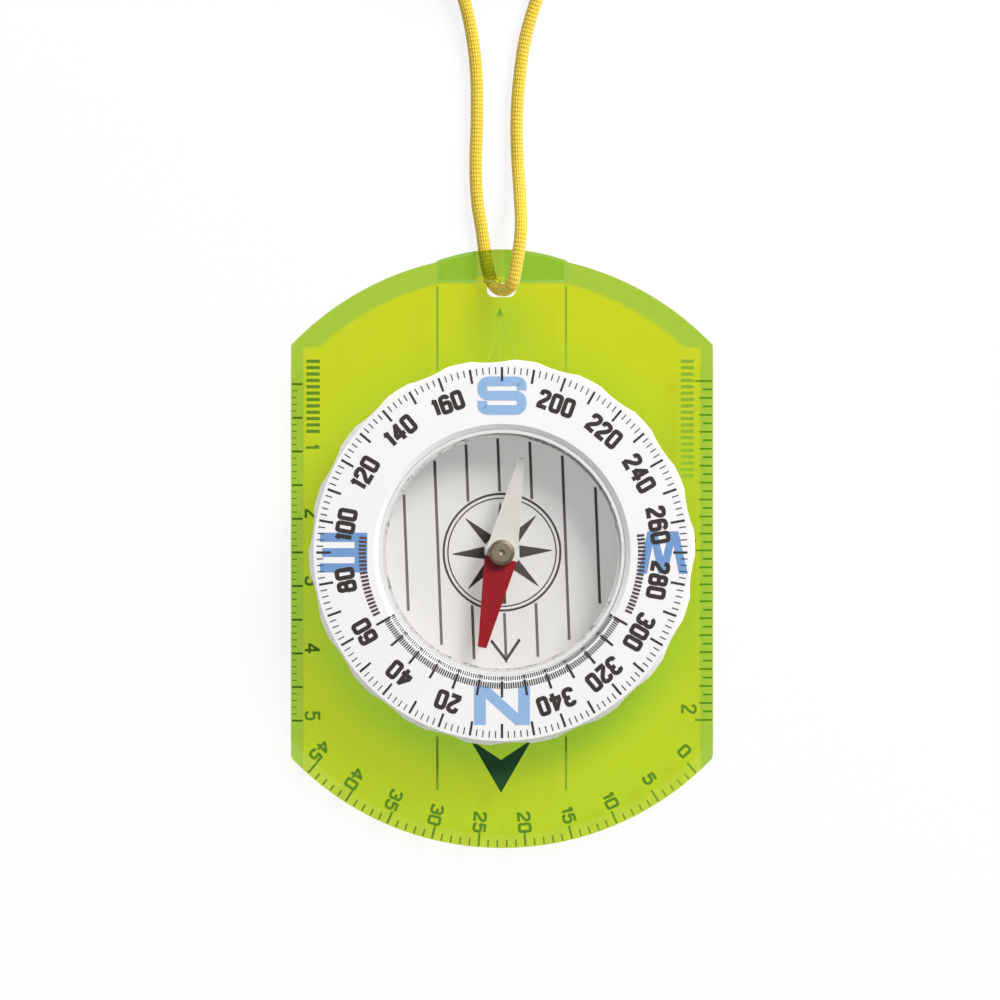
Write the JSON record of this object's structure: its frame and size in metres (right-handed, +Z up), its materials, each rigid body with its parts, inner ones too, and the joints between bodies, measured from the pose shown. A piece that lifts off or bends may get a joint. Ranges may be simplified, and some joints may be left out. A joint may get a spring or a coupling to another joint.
{
  "type": "sighting compass",
  "caption": "Flat map compass: clear lime baseplate with rulers, a turning scalloped dial, a liquid capsule with a red and white needle, and a yellow neck cord.",
  "frame": {"origin": "under the middle of the baseplate's length and width, on the surface it lies on", "axes": "+Z up out of the dial's face, +Y along the baseplate towards the lanyard slot, +X to the right of the dial seen from above"},
  "size_m": [0.063, 0.1629, 0.0093],
  "materials": {
    "lime_acrylic": "polished transparent lime acrylic",
    "washer_nylon": "natural nylon",
    "white_abs": "moulded white, satin",
    "clear_acrylic": "polished, clear",
    "grey_rubber": "moulded silicone",
    "turned_brass": "turned, dull",
    "pin_steel": "ground",
    "needle_paint": "red and white enamel",
    "jewel": "polished glass jewel",
    "yellow_cord": "braided polyester",
    "tie_rubber": "matt band"
  },
  "bodies": {
    "baseplate_body": {"baseplate": "lime_acrylic", "bezel_friction_washer": "washer_nylon", "lanyard_cord": "yellow_cord", "lanyard_coil": "yellow_cord", "coil_tie": "tie_rubber", "lanyard_knot": "yellow_cord"},
    "bezel": {"bezel_ring": "white_abs", "retaining_ring": "white_abs"},
    "capsule": {"capsule_cup": "clear_acrylic", "capsule_friction_ring": "grey_rubber", "filler_plug": "grey_rubber", "lid_gasket": "grey_rubber", "capsule_lid": "clear_acrylic", "pivot_post": "turned_brass", "pivot_pin": "pin_steel"},
    "needle": {"needle_blade": "needle_paint", "needle_hub": "turned_brass", "jewel_cup": "jewel"}
  },
  "joints": [
    {"name": "bezel_turn", "type": "hinge", "parent": "baseplate_body", "child": "bezel", "pos_m": [0, -0.0005, 0], "axis": [0, 0, 1], "continuous": true},
    {"name": "declination_turn", "type": "hinge", "parent": "bezel", "child": "capsule", "pos_m": [0, -0.0005, 0], "axis": [0, 0, 1], "range_deg": [-62.2, 57.8]},
    {"name": "needle_turn", "type": "hinge", "parent": "capsule", "child": "needle", "pos_m": [0, -0.0005, 0], "axis": [0, 0, 1], "continuous": true}
  ]
}
